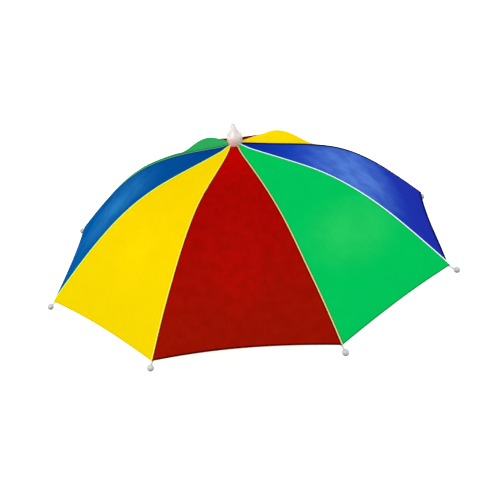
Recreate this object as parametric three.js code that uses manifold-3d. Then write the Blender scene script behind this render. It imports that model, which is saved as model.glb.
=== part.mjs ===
// Umbrella hat: a small eight-panel umbrella that is worn on the head.
// A cloth canopy lies over eight bent steel ribs. The ribs start in the slots of a plastic hub under
// the crown and end in plastic ball tips, and a pointed finial clamps the cloth at the top. Eight
// wire struts are riveted to the ribs and stand in pockets on an elastic headband.
// Millimetres, +Z up. The hat rests on its ball tips at z = 0, with its centre line on the Z axis and
// the red front panel towards -Y.

import * as THREE from 'three';
import { mergeVertices } from 'three/addons/utils/BufferGeometryUtils.js';
import Module from 'manifold-3d';

const wasm = await Module();
wasm.setup();

// Canopy
const panelCount = 8;
const rimRadius = 250;          // centre line to a corner of the cloth
const canopyRise = 134.8;       // corner of the cloth to the crown
const crownSlope = THREE.MathUtils.degToRad(13.6);
const rimSlope = THREE.MathUtils.degToRad(44.4);
const crownReach = 0.41;        // straight pull of the rib line at the crown, a share of its chord
const rimReach = 0.55;          // the same at the rim
const clothWall = 1;
const seamGap = 0.3;            // between neighbouring panels
const hemScallop = 5.5;         // how far the middle of a hem is drawn up
const sagDepth = 2.7;           // how far a panel's middle sinks between its ribs
const crownHoleGap = 1.5;       // finial's stem to the cloth

// Ribs, a U-shaped steel channel, open downwards
const ribWidth = 2.6;
const ribDepth = 2.8;
const ribSheet = 0.4;
const ribShort = 3;             // rib's outer end to the corner of the cloth

// Ball tips
const ballDiameter = 7;
const ballReach = 7.5;          // corner of the cloth to the middle of the ball
const ballDepth = 1;            // outer side of the cloth to the middle of the ball
const stemDiameter = 2.6;
const shankDiameter = 1.2;      // the part inside the rib's channel
const shankLength = 8;

// Finial and hub
const finialHeight = 24;        // above the crown
const finialDiameter = 19;
const finialStemDiameter = 5;
const hubDiameter = 26;
const hubHeight = 9;
const hubWeb = 1.2;             // between two slots at their inner ends

// Struts and rivets
const strutPlace = 0.5;         // share of the rib line where a strut is riveted
const strutDiameter = 1.8;
const footRise = 3.6;           // pocket's edge to the strut's bend
const earRadius = 1.5;
const earSheet = 0.6;
const earRoom = 1.2;            // between the ears, rib to the strut's solid part
const rivetDepth = 1.6;         // top of the rib to the rivet's axis
const rivetDiameter = 1.2;
const rivetHeadDiameter = 2.6;
const rivetHeadHeight = 0.6;

// Headband
const bandDiameter = 166;       // inside, at rest
const bandHeight = 25;
const bandWall = 2;
const bandLift = 18;            // ball tips' ground to the band's lower edge
const pocketWidth = 12;
const pocketHeight = 19;
const pocketWall = 1.3;

const fitGap = 0.3;             // between any other two pieces that meet

// Facets
const wireSides = 6;
const ballSides = 10;
const ballRings = 7;
const bendRings = 4;
const finialSides = 16;
const hubSides = 4 * panelCount;
const bandSides = 5 * panelCount;

const panelAngle = 2 * Math.PI / panelCount;
const halfPanel = panelAngle / 2;

// The line of a rib on the outer side of the cloth, from the crown at (0, rise) to a corner.
const chord = Math.hypot(rimRadius, canopyRise);
const ribLine = new THREE.CubicBezierCurve(
  new THREE.Vector2(0, canopyRise),
  new THREE.Vector2(crownReach * chord * Math.cos(crownSlope),
    canopyRise - crownReach * chord * Math.sin(crownSlope)),
  new THREE.Vector2(rimRadius - rimReach * chord * Math.cos(rimSlope),
    rimReach * chord * Math.sin(rimSlope)),
  new THREE.Vector2(rimRadius, 0));
const ribLength = ribLine.getLength();

// How steeply the cloth falls away to both sides of a rib, where it does so most.
const foldTilt = Math.acos(Math.sin(rimSlope) ** 2 * Math.cos(halfPanel) + Math.cos(rimSlope) ** 2);
const sagTilt = Math.atan(4 * sagDepth / (rimRadius * Math.sin(halfPanel)));

// Depths under the cloth's outer side, and heights over the ground.
const ribSeat = clothWall / Math.cos(foldTilt) + ribWidth / 2 * Math.tan(foldTilt + sagTilt) + fitGap;
const shankDepth = ribSeat + ribSheet + fitGap + shankDiameter / 2;
const stemDepth = (clothWall + stemDiameter / 2) / Math.cos(foldTilt) + fitGap;
const hubDepth = clothWall / Math.cos(crownSlope) + fitGap;
const cornerHeight = ballDiameter / 2 + ballReach * Math.sin(rimSlope)
  + ballDepth * Math.cos(rimSlope);
const crownHeight = cornerHeight + canopyRise;

// The hub's slots and the ribs' inner ends in them.
const slotWidth = ribWidth + 2 * fitGap;
const slotStart = panelCount * (slotWidth + hubWeb) / (2 * Math.PI);
const ribStart = (slotStart + fitGap) / Math.cos(crownSlope)
  + (ribSeat + ribDepth) * Math.tan(crownSlope);

// Where a strut is riveted, bends and ends, as radius and height.
const rivetPlace = underCloth(strutPlace, ribSeat + rivetDepth);
const pocketTop = bandLift + (bandHeight + pocketHeight) / 2;
const footRadius = bandDiameter / 2 + bandWall + fitGap + strutDiameter / 2;
const footTop = new THREE.Vector2(footRadius, pocketTop + footRise);
const footEnd = new THREE.Vector2(footRadius, pocketTop - pocketHeight + 2 * pocketWall);

function panelTurn(i) {
  return i * panelAngle - Math.PI / 2;
}

function ribTurn(i) {
  return panelTurn(i) + halfPanel;
}

// A point at a share of the rib line and a depth under the cloth's outer side, as radius and height.
function underCloth(share, depth) {
  const place = ribLine.getPointAt(share);
  const along = ribLine.getTangentAt(share);
  return new THREE.Vector2(place.x + along.y * depth, cornerHeight + place.y - along.x * depth);
}

// The same line at one depth, as a path in the XZ plane for a swept section.
class RibPath extends THREE.Curve {
  constructor(from, to, depth) {
    super();
    Object.assign(this, { from, to, depth });
  }

  getPoint(t, target = new THREE.Vector3()) {
    const place = underCloth(this.from + (this.to - this.from) * t, this.depth);
    return target.set(place.x, 0, place.y);
  }
}

function solidOf(geometry) {
  const bare = geometry.clone();
  bare.deleteAttribute('normal');
  bare.deleteAttribute('uv');
  const merged = mergeVertices(bare, 1e-4);
  return new wasm.Manifold(new wasm.Mesh({
    numProp: 3,
    vertProperties: new Float32Array(merged.attributes.position.array),
    triVerts: new Uint32Array(merged.index.array),
  }));
}

function geometryOf(solid) {
  const mesh = solid.getMesh();
  const geometry = new THREE.BufferGeometry();
  const points = new Float32Array(mesh.vertProperties);
  geometry.setAttribute('position', new THREE.BufferAttribute(points, 3));
  geometry.setIndex(new THREE.BufferAttribute(new Uint32Array(mesh.triVerts), 1));
  return geometry;
}

function joined(...geometries) {
  return geometryOf(geometries.map(solidOf).reduce((whole, solid) => whole.add(solid)));
}

// A round bar between two points of the XZ plane.
function bar(from, to, diameter) {
  const length = from.distanceTo(to);
  const along = new THREE.Vector3(to.x - from.x, 0, to.y - from.y).normalize();
  const turn = new THREE.Quaternion().setFromUnitVectors(new THREE.Vector3(0, 1, 0), along);
  return new THREE.CylinderGeometry(diameter / 2, diameter / 2, length, wireSides)
    .applyQuaternion(turn)
    .translate((from.x + to.x) / 2, 0, (from.y + to.y) / 2);
}

// The rivet's hole, across the XZ plane, through all that lies within a width.
function rivetHole(width) {
  const radius = rivetDiameter / 2 + fitGap;
  return new THREE.CylinderGeometry(radius, radius, 2 * width, wireSides)
    .translate(rivetPlace.x, 0, rivetPlace.y);
}

// One panel, centred on +X: straight across from rib to rib, sunk a little in its middle.
function panelGeometry() {
  const stepsDown = 12;
  const stepsAcross = 6;
  const sagPeak = 0.4725;       // the most that u (1 - u^3) reaches
  const holeRadius = finialStemDiameter / 2 + crownHoleGap;
  const firstShare = holeRadius / Math.cos(crownSlope) / ribLength;
  const sideGap = seamGap / 2 / Math.cos(halfPanel);
  const faces = [[], []];
  for (let i = 0; i <= stepsDown; i++) {
    for (let j = 0; j <= stepsAcross; j++) {
      const across = 2 * j / stepsAcross - 1;
      const bow = 1 - across * across;
      const lastShare = 1 - hemScallop * bow / ribLength;
      const share = firstShare + (lastShare - firstShare) * i / stepsDown;
      const place = ribLine.getPointAt(share);
      const along = ribLine.getTangentAt(share);
      const sag = sagDepth * bow * share * (1 - share ** 3) / sagPeak;
      [sag, sag + clothWall].forEach((depth, side) => {
        const x = place.x * Math.cos(halfPanel) + along.y * depth;
        const y = across * (x * Math.tan(halfPanel) - sideGap);
        faces[side].push(x, y, cornerHeight + place.y - along.x * depth);
      });
    }
  }
  const row = stepsAcross + 1;
  const inner = (stepsDown + 1) * row;
  const index = [];
  const quad = (a, b, c, d) => index.push(a, b, c, a, c, d);
  for (let i = 0; i < stepsDown; i++) {
    for (let j = 0; j < stepsAcross; j++) {
      const a = i * row + j;
      quad(a, a + row, a + row + 1, a + 1);
      quad(inner + a, inner + a + 1, inner + a + row + 1, inner + a + row);
    }
    const left = i * row;
    const right = left + stepsAcross;
    quad(left, inner + left, inner + left + row, left + row);
    quad(right, right + row, inner + right + row, inner + right);
  }
  for (let j = 0; j < stepsAcross; j++) {
    const hem = stepsDown * row + j;
    quad(j, j + 1, inner + j + 1, inner + j);
    quad(hem, inner + hem, inner + hem + 1, hem + 1);
  }
  const geometry = new THREE.BufferGeometry();
  geometry.setAttribute('position', new THREE.Float32BufferAttribute([...faces[0], ...faces[1]], 3));
  geometry.setIndex(index);
  return geometry;
}

// One rib, in the XZ plane, with the hole for its strut's rivet.
function ribGeometry() {
  const half = ribWidth / 2;
  const section = new THREE.Shape([
    [-half, 0], [half, 0], [half, ribDepth], [half - ribSheet, ribDepth],
    [half - ribSheet, ribSheet], [ribSheet - half, ribSheet], [ribSheet - half, ribDepth],
    [-half, ribDepth],
  ].map(([x, y]) => new THREE.Vector2(x, y)));
  const path = new RibPath(ribStart / ribLength, 1 - ribShort / ribLength, ribSeat);
  const channel = new THREE.ExtrudeGeometry(section, { steps: 12, extrudePath: path });
  return geometryOf(solidOf(channel).subtract(solidOf(rivetHole(ribWidth))));
}

// One ball tip: a ball, a stem that rises to it past the cloth, and a shank in the rib's channel.
function tipGeometry() {
  const cloth = ribLine.getPointAt(1);
  const along = new THREE.Vector2(Math.cos(rimSlope), -Math.sin(rimSlope));
  const under = new THREE.Vector2(-Math.sin(rimSlope), -Math.cos(rimSlope));
  const point = (reach, depth) => new THREE.Vector2(cloth.x, cornerHeight)
    .addScaledVector(under, depth).addScaledVector(along, reach);
  const middle = point(ballReach, ballDepth);
  const stemStart = fitGap - ribShort;
  const ball = new THREE.SphereGeometry(ballDiameter / 2, ballSides, ballRings)
    .rotateX(Math.PI / 2).translate(middle.x, 0, middle.y);
  const stem = bar(point(stemStart, stemDepth), point(0, stemDepth), stemDiameter);
  const neck = bar(point(0, stemDepth), middle, stemDiameter);
  const shank = bar(point(stemStart - shankLength, shankDepth), point(0, shankDepth), shankDiameter);
  return joined(ball, stem, neck, shank);
}

// One strut: ears that straddle the rib at the rivet, a wire leg, and a foot in the band's pocket.
function strutGeometry() {
  const leg = footTop.clone().sub(rivetPlace);
  const legLength = leg.length();
  leg.normalize();
  const onLeg = (reach) => rivetPlace.clone().addScaledVector(leg, reach);
  const innerWidth = ribWidth + 2 * fitGap;
  const outerWidth = innerWidth + 2 * earSheet;
  const slotDepth = ribDepth - rivetDepth + earRoom;
  const earLength = slotDepth + 2 * earRadius;

  const outline = new THREE.Shape();
  outline.moveTo(earRadius, 0);
  outline.lineTo(earRadius, earLength);
  outline.lineTo(-earRadius, earLength);
  outline.lineTo(-earRadius, 0);
  outline.absarc(0, 0, earRadius, Math.PI, 2 * Math.PI, false);
  const ears = new THREE.ExtrudeGeometry(outline,
    { depth: outerWidth, bevelEnabled: false, curveSegments: 4 }).translate(0, 0, -outerWidth / 2);
  const gap = new THREE.BoxGeometry(3 * earRadius, slotDepth + 2 * earRadius, innerWidth)
    .translate(0, slotDepth / 2 - earRadius, 0);
  const toLeg = new THREE.Matrix4().makeBasis(
    new THREE.Vector3(leg.y, 0, -leg.x),
    new THREE.Vector3(leg.x, 0, leg.y),
    new THREE.Vector3(0, -1, 0)).setPosition(rivetPlace.x, 0, rivetPlace.y);
  [ears, gap].forEach((shape) => shape.applyMatrix4(toLeg));
  const hole = rivetHole(outerWidth);
  const fork = geometryOf(solidOf(ears).subtract(solidOf(gap)).subtract(solidOf(hole)));

  const wire = bar(onLeg(slotDepth + earRadius), onLeg(legLength), strutDiameter);
  const bend = new THREE.SphereGeometry(strutDiameter / 2, wireSides, bendRings)
    .rotateX(Math.PI / 2).translate(footTop.x, 0, footTop.y);
  const foot = bar(footTop, footEnd, strutDiameter);
  return joined(fork, wire, bend, foot);
}

// One rivet, across the XZ plane.
function rivetGeometry() {
  const pin = rivetDiameter / 2;
  const head = rivetHeadDiameter / 2;
  const inside = ribWidth / 2 + earSheet + 2 * fitGap;
  const outside = inside + rivetHeadHeight;
  const profile = [[0, -outside], [head, -outside], [head, -inside], [pin, -inside],
    [pin, inside], [head, inside], [head, outside], [0, outside]]
    .map(([x, y]) => new THREE.Vector2(x, y));
  return new THREE.LatheGeometry(profile, wireSides).translate(rivetPlace.x, 0, rivetPlace.y);
}

// The finial: a drop-shaped cap on the cloth, with a stem down through the hub.
function finialGeometry() {
  const outline = [
    { up: 0.00, out: 0.78 },
    { up: 0.19, out: 0.88 },
    { up: 0.37, out: 1.00 },
    { up: 0.45, out: 0.94 },
    { up: 0.54, out: 0.74 },
    { up: 0.63, out: 0.54 },
    { up: 0.73, out: 0.41 },
    { up: 0.86, out: 0.35 },
    { up: 0.96, out: 0.24 },
    { up: 1.00, out: 0.10 },
  ];
  const widest = finialDiameter / 2;
  const stem = finialStemDiameter / 2;
  const rise = (radius) => crownHeight - radius * Math.tan(crownSlope) + fitGap;
  const profile = [
    [0, crownHeight - hubDepth - hubHeight],
    [stem, crownHeight - hubDepth - hubHeight],
    [stem, rise(stem)],
    [outline[0].out * widest, rise(outline[0].out * widest)],
    ...outline.slice(1).map((row) => [row.out * widest, crownHeight + row.up * finialHeight]),
    [0, crownHeight + finialHeight],
  ].map(([x, y]) => new THREE.Vector2(x, y));
  return new THREE.LatheGeometry(profile, finialSides).rotateX(Math.PI / 2);
}

// The hub: a disc under the cloth with a slot for each rib and a bore for the finial's stem.
function hubGeometry() {
  const radius = hubDiameter / 2;
  const bore = finialStemDiameter / 2 + fitGap;
  const rimShare = radius / Math.cos(halfPanel) / Math.cos(crownSlope) / ribLength;
  const fall = (canopyRise - ribLine.getPointAt(rimShare).y) / radius;
  const top = (r) => crownHeight - hubDepth - r * fall;
  const bottom = crownHeight - hubDepth - hubHeight;
  const profile = [[bore, bottom], [radius, bottom], [radius, top(radius)], [bore, top(bore)],
    [bore, bottom]].map(([x, y]) => new THREE.Vector2(x, y));
  let hub = solidOf(new THREE.LatheGeometry(profile, hubSides).rotateX(Math.PI / 2));
  for (let i = 0; i < panelCount; i++) {
    const slot = new THREE.BoxGeometry(hubDiameter, slotWidth, 4 * hubHeight)
      .translate(slotStart + hubDiameter / 2, 0, crownHeight)
      .rotateZ(ribTurn(i));
    hub = hub.subtract(solidOf(slot));
  }
  return geometryOf(hub);
}

// The headband, with a pocket on its outer side under each rib.
function bandGeometry() {
  const inside = bandDiameter / 2;
  const profile = [[inside, bandLift], [inside + bandWall, bandLift],
    [inside + bandWall, bandLift + bandHeight], [inside, bandLift + bandHeight], [inside, bandLift]]
    .map(([x, y]) => new THREE.Vector2(x, y));
  let band = solidOf(new THREE.LatheGeometry(profile, bandSides).rotateX(Math.PI / 2));
  const slotSide = strutDiameter + 2 * fitGap;
  const pocketDepth = bandWall / 2 + slotSide + pocketWall + fitGap;
  for (let i = 0; i < panelCount; i++) {
    const pocket = new THREE.BoxGeometry(pocketDepth, pocketWidth, pocketHeight)
      .translate(inside + bandWall / 2 + pocketDepth / 2, 0, pocketTop - pocketHeight / 2)
      .rotateZ(ribTurn(i));
    const slot = new THREE.BoxGeometry(slotSide, slotSide, pocketHeight)
      .translate(footEnd.x, 0, footEnd.y - fitGap + pocketHeight / 2)
      .rotateZ(ribTurn(i));
    band = band.add(solidOf(pocket)).subtract(solidOf(slot));
  }
  return geometryOf(band);
}

const finish = (color, roughness, metalness = 0) =>
  new THREE.MeshStandardMaterial({ color, roughness, metalness });
const cloth = {
  red: finish(0xab0503, 0.45),
  green: finish(0x05c75b, 0.45),
  blue: finish(0x1c4fb4, 0.4),
  yellow: finish(0xfbda02, 0.45),
};
const whitePlastic = finish(0xe9e7e4, 0.3);
const steel = finish(0xb9bcc0, 0.35, 1);
const elastic = finish(0xe4e2dc, 0.9);

const hat = new THREE.Group();

function place(name, geometry, material, turn = 0) {
  const mesh = new THREE.Mesh(geometry, material);
  mesh.name = name;
  mesh.rotation.z = turn;
  hat.add(mesh);
}

// Panels in order from the front one, counter-clockwise seen from above.
const panels = [
  { colour: 'red', side: 'front' },
  { colour: 'green', side: 'front_right' },
  { colour: 'blue', side: 'right' },
  { colour: 'yellow', side: 'back_right' },
  { colour: 'red', side: 'back' },
  { colour: 'green', side: 'back_left' },
  { colour: 'blue', side: 'left' },
  { colour: 'yellow', side: 'front_left' },
];
const panelShape = panelGeometry();
panels.forEach(({ colour, side }, i) =>
  place(`panel_${colour}_${side}`, panelShape, cloth[colour], panelTurn(i)));

const perRib = [
  ['rib', ribGeometry(), steel],
  ['rib_tip', tipGeometry(), whitePlastic],
  ['strut', strutGeometry(), steel],
  ['rivet', rivetGeometry(), steel],
];
for (const [name, geometry, material] of perRib) {
  for (let i = 0; i < panelCount; i++) {
    place(`${name}_${i + 1}`, geometry, material, ribTurn(i));
  }
}

place('finial', finialGeometry(), whitePlastic);
place('hub', hubGeometry(), whitePlastic);
place('headband', bandGeometry(), elastic);

export default hat;
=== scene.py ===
import math

import bmesh
import bpy
import numpy as np
from mathutils import Matrix, Vector, noise


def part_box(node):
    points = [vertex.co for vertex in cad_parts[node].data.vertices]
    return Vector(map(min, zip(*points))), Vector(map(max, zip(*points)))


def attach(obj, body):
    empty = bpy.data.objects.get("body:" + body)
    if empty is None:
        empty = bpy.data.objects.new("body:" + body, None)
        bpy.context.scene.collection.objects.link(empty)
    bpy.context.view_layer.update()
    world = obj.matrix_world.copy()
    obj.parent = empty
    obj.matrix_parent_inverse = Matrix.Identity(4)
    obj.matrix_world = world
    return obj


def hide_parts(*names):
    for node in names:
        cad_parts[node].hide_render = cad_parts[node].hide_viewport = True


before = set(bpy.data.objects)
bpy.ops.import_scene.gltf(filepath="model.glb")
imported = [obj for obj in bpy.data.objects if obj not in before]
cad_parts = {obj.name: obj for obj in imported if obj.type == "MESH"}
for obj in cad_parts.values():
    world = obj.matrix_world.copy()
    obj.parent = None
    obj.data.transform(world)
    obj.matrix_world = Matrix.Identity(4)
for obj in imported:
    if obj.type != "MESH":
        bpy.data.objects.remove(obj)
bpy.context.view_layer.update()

# Umbrella hat with eight cloth panels, seen from the front right, a little from above.
# Metres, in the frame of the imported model: the hat stands on its ball tips at z = 0.

mm = 0.001
scene = bpy.context.scene


# A real hat is never quite regular. Its ribs run a little aside and lie higher or lower on their way, their
# outer ends stand a little further in or out, and one seam runs aside where it meets the finial.

sway = {
    "reach": 250 * mm,              # radius at which the full amount of "outward" holds
    "outward": [2.54, 0.8, -0.18, 0.3, 0.0, -1.52, -1.63, 0.53],    # mm, rib 1 to rib 8
    # how far each rib runs aside or lies higher, in mm, at these radii
    "radii": [0, 10, 22, 60, 100, 140, 180, 215, 250, 300],
    "aside": [
        [0, 0, -0.8, -0.85, -1.15, -1.3, -1.3, 0.0, 0.8, 0.8],
        [0, 0, -0.9, -1.55, -1.7, -2.2, -2.4, -2.8, -2.6, -2.6],
        [0, 0, 0, 0, 0, -0.1, -0.1, -0.15, -0.2, -0.2],
        [0, 0, 0, 0, 0, 0.1, 0.1, 0.15, 0.2, 0.2],
        [0, 0, 0, 0, 0, -0.1, -0.15, -0.2, -0.3, -0.3],
        [0, 0, 0, 0.05, 0.15, 0.3, 0.45, 0.65, 0.9, 0.9],
        [0, 0, 1.35, 1.95, 1.8, 1.7, 1.7, 1.45, 1.0, 1.0],
        [0, 0, -1.3, -1.3, -1.7, -0.5, 0.1, -0.4, -0.3, -0.3]],
    "lift": [
        [0, 0, -0.8, -1.2, -1.1, -1.0, -0.7, -0.4, 0, 0],
        [0, 0, -1.0, -1.5, -1.35, -1.4, -1.0, -0.7, 0, 0],
        [0, 0, -0.4, -1.8, -1.45, 0.7, 1.3, 0.55, 0, 0],
        [0, 0, 0, 0, 0, 0, 0, 0, 0, 0],
        [0, 0, 0, 0, 0, 0, 0, 0, 0, 0],
        [0, 0, -1.2, -0.3, 0.1, 0.75, 1.15, 0.5, 0, 0],
        [0, 0, -1.4, -2.0, -1.7, -1.4, -1.1, -0.55, 0, 0],
        [0, 0, -0.4, -0.5, -0.5, -0.4, -0.3, -0.2, 0, 0]],
    "liftDepth": 8 * mm, "liftFade": 20 * mm,       # what lies further under the cloth isn't lifted
    "crownSeam": 7, "crownAside": -4.8 * mm, "crownFrom": 7.5 * mm, "crownFade": 8.5 * mm,
    "crownOpen": 4 * mm,
}


def swayed(points, cloth=False):
    radius, angle = np.hypot(points[:, 0], points[:, 1]), np.arctan2(points[:, 1], points[:, 0])
    ramp = np.clip(radius / sway["reach"], 0, 1.2) ** 2 * mm
    under = cornerHeight + np.interp(radius, linePlaces[:, 0], linePlaces[:, 1]) - points[:, 2]
    near = np.clip(1 - (under - sway["liftDepth"]) / sway["liftFade"], 0, 1) * mm
    outward, aside, lift = np.zeros((3, len(points)))
    for i in ribNumbers:
        away = np.abs((angle - ribTurn(i) + math.pi) % (2 * math.pi) - math.pi)
        weight = 0.5 + 0.5 * np.cos(math.pi * np.clip(away / (2 * halfPanel), 0, 1))
        line = smoothLine(np.stack([sway["radii"], sway["aside"][i], sway["lift"][i]], -1), 10)
        outward += weight * ramp * sway["outward"][i]
        aside += weight * near * np.interp(radius, line[:, 0] * mm, line[:, 1])
        lift += weight * near * np.interp(radius, line[:, 0] * mm, line[:, 2])
        if cloth and i == sway["crownSeam"]:
            beyond = np.maximum(radius - sway["crownFrom"], 0)
            opening = np.clip((radius - canopy["crownHole"]) / sway["crownOpen"], 0, 1)
            aside += weight * opening * sway["crownAside"] * np.exp(-beyond / sway["crownFade"])
    return points + polar(outward, angle, lift) + polar(aside, angle + math.pi / 2, 0)


# Small helpers for meshes. A shape is a pair of points and faces.

def addMesh(name, shape, material, sharpAngle=None):
    mesh = bpy.data.meshes.new(name)
    mesh.from_pydata([tuple(point) for point in np.asarray(shape[0], float).tolist()], [], shape[1])
    mesh.shade_smooth()
    if sharpAngle is not None:
        mesh.set_sharp_from_angle(angle=math.radians(sharpAngle))
    mesh.materials.append(material)
    piece = bpy.data.objects.new(name, mesh)
    scene.collection.objects.link(piece)
    return piece


def makePiece(name, shape, material, slot, node=None, cloth=False, sharpAngle=None, **vectors):
    # a piece of the hat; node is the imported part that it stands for, vectors are what its material reads
    piece = addMesh(name, (swayed(shape[0], cloth), shape[1]), material, sharpAngle)
    for key, values in vectors.items():
        attribute = piece.data.attributes.new(key, "FLOAT_VECTOR", "POINT")
        attribute.data.foreach_set("vector", np.asarray(values, np.float32).ravel())
    work = bmesh.new()
    work.from_mesh(piece.data)
    bmesh.ops.recalc_face_normals(work, faces=work.faces)
    work.to_mesh(piece.data)
    work.free()
    if node:
        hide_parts(node)
    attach(piece, "root")
    return piece


def gridFaces(rows, columns, start=0, flip=False, closeColumns=False):
    faces = []
    for i in range(rows - 1):
        row = start + i * columns
        for j in range(columns if closeColumns else columns - 1):
            k = (j + 1) % columns
            quad = (row + j, row + k, row + columns + k, row + columns + j)
            faces.append(quad[::-1] if flip else quad)
    return faces


def unit(vectors):
    vectors = np.asarray(vectors, float)
    return vectors / np.maximum(np.linalg.norm(vectors, axis=-1, keepdims=True), 1e-12)


def circle(count):
    return np.arange(count) * 2 * math.pi / count


def polar(radius, angle, height):
    return np.stack(np.broadcast_arrays(radius * np.cos(angle), radius * np.sin(angle), height), -1)


def turned(shape, angle):
    x, y, z = shape[0].T
    c, s = math.cos(angle), math.sin(angle)
    return np.stack([x * c - y * s, x * s + y * c, z], -1), shape[1]


def shellFromGrid(centre, thickness):
    # two layers half a thickness to each side of a grid of points, closed round its rim
    step = unit(np.cross(np.gradient(centre, axis=1), np.gradient(centre, axis=0))) * thickness / 2
    rows, columns = centre.shape[:2]
    count = rows * columns
    faces = gridFaces(rows, columns, flip=True) + gridFaces(rows, columns, start=count)
    rim = (list(range(columns)) + [i * columns + columns - 1 for i in range(1, rows)]
           + [(rows - 1) * columns + j for j in range(columns - 2, -1, -1)]
           + [i * columns for i in range(rows - 2, 0, -1)])
    faces += [(a, b, b + count, a + count) for a, b in zip(rim, rim[1:] + rim[:1])]
    return np.concatenate([(centre + step).reshape(-1, 3), (centre - step).reshape(-1, 3)]), faces


def tube(points, closed=False):
    # outlines joined one after another, with flat ends or, where closed, back to the first
    rows, columns = points.shape[:2]
    last = (rows - 1) * columns
    faces = gridFaces(rows, columns, closeColumns=True)
    if closed:
        faces += [(last + j, last + (j + 1) % columns, (j + 1) % columns, j) for j in range(columns)]
    else:
        faces += [tuple(range(columns))[::-1], tuple(range(last, last + columns))]
    return points.reshape(-1, 3), faces


def sweep(path, sides, ups, section, closed=False):
    # a section of (side, up) pairs carried along a path
    sides, ups = (np.broadcast_to(v, path.shape)[:, None] for v in (sides, ups))
    section = np.broadcast_to(section, (len(path),) + section.shape[-2:])
    return tube(path[:, None] + sides * section[..., :1] + ups * section[..., 1:], closed)


def ring(radius, count):
    return radius * np.stack([np.cos(circle(count)), np.sin(circle(count))], -1)


def roundedSquare(count, power):
    pairs = ring(1.0, count)
    return np.sign(pairs) * np.abs(pairs) ** power


def smoothLine(rows, steps=6):
    # a Catmull-Rom curve through the rows
    rows = np.asarray(rows, float)
    padded = np.concatenate([2 * rows[:1] - rows[1:2], rows, 2 * rows[-1:] - rows[-2:-1]])
    t = (np.arange(steps) / steps)[:, None]
    out = []
    for i in range(1, len(padded) - 2):
        a, b, c, d = padded[i - 1:i + 3]
        out.append(0.5 * (2 * b + (c - a) * t + (2 * a - 5 * b + 4 * c - d) * t ** 2
                          + (3 * b - a - 3 * c + d) * t ** 3))
    return np.concatenate(out + [rows[-1:]])


def lathe(profile, count):
    # profile rows are (radius, height); its ends lie on the axis
    rows = np.asarray(profile, float)
    body = polar(rows[1:-1, :1], circle(count), rows[1:-1, 1:])
    points = np.concatenate([[[0, 0, rows[0, 1]]], body.reshape(-1, 3), [[0, 0, rows[-1, 1]]]])
    last = len(points) - 1
    faces = gridFaces(len(body), count, start=1, closeColumns=True)
    for j in range(count):
        k = (j + 1) % count
        faces += [(0, 1 + k, 1 + j), (last, last - count + j, last - count + k)]
    return points, faces


def joinParts(parts):
    points, faces, count = [], [], 0
    for partPoints, partFaces in parts:
        points.append(partPoints)
        faces += [tuple(count + i for i in face) for face in partFaces]
        count += len(partPoints)
    return np.concatenate(points), faces


def threadStitches(places, directions, normals, length, radius):
    # short bowed threads that dive into the cloth at both ends
    turns = np.linspace(-1, 1, 6)[:, None]
    section = ring(radius, 6) * (1 - 0.35 * turns[:, None] ** 2)
    bow = radius * (0.25 - 1.1 * turns ** 2)
    directions, normals = unit(directions), unit(normals)
    sides = unit(np.cross(directions, normals))
    return joinParts([sweep(place + along * length / 2 * turns + normal * bow, side, normal, section)
                      for place, along, normal, side in zip(places, directions, normals, sides)])


# Shader helpers

def rgb(red, green, blue):
    def toLinear(value):
        value /= 255
        return value / 12.92 if value <= 0.04045 else ((value + 0.055) / 1.055) ** 2.4
    return (toLinear(red), toLinear(green), toLinear(blue), 1.0)


def connect(tree, value, socket):
    if isinstance(value, bpy.types.NodeSocket):
        tree.links.new(value, socket)
    else:
        socket.default_value = value


def setSockets(tree, node, **sockets):
    for key, value in sockets.items():
        connect(tree, value, node.inputs[key.replace("_", " ")])
    return node


def put(tree, kind, settings=None, **sockets):
    node = tree.nodes.new(kind)
    for key, value in (settings or {}).items():
        setattr(node, key, value)
    return setSockets(tree, node, **sockets)


def fill(tree, node, values):
    for value, socket in zip(values, node.inputs):
        connect(tree, value, socket)
    return node.outputs[0]


def calc(tree, operation, *values):
    return fill(tree, put(tree, "ShaderNodeMath", {"operation": operation}), values)


def vectorCalc(tree, operation, *values):
    return fill(tree, put(tree, "ShaderNodeVectorMath", {"operation": operation}), values)


def spread(tree, value, low, high, newLow=0.0, newHigh=1.0):
    node = put(tree, "ShaderNodeMapRange", {"interpolation_type": "SMOOTHSTEP"})
    return fill(tree, node, (value, low, high, newLow, newHigh))


def clouds(tree, place, scale, detail, roughness=0.5):
    return put(tree, "ShaderNodeTexNoise", Vector=place, Scale=scale, Detail=detail,
               Roughness=roughness).outputs[0]


def cellEdges(tree, place, scale):
    node = put(tree, "ShaderNodeTexVoronoi", {"feature": "DISTANCE_TO_EDGE"}, Vector=place, Scale=scale)
    return node.outputs[0]


def blendColours(tree, share, first, second):
    node = put(tree, "ShaderNodeMix", {"data_type": "RGBA"}, Factor=share)
    connect(tree, first, node.inputs[6])
    connect(tree, second, node.inputs[7])
    return node.outputs[2]


def newGroup(name, inputs, outputs):
    # a shared effect; an input without a value is a vector
    group = bpy.data.node_groups.new(name, "ShaderNodeTree")
    for label, value in {"Place": None, **inputs}.items():
        socket = group.interface.new_socket(name=label, in_out="INPUT", socket_type=(
            "NodeSocketVector" if value is None else "NodeSocketFloat"))
        if value is not None:
            socket.default_value = value
    for label in outputs:
        group.interface.new_socket(name=label, in_out="OUTPUT", socket_type="NodeSocketFloat")
    given = group.nodes.new("NodeGroupInput").outputs
    return group, given["Place"], given, group.nodes.new("NodeGroupOutput")


# Effects that several materials share

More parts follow.
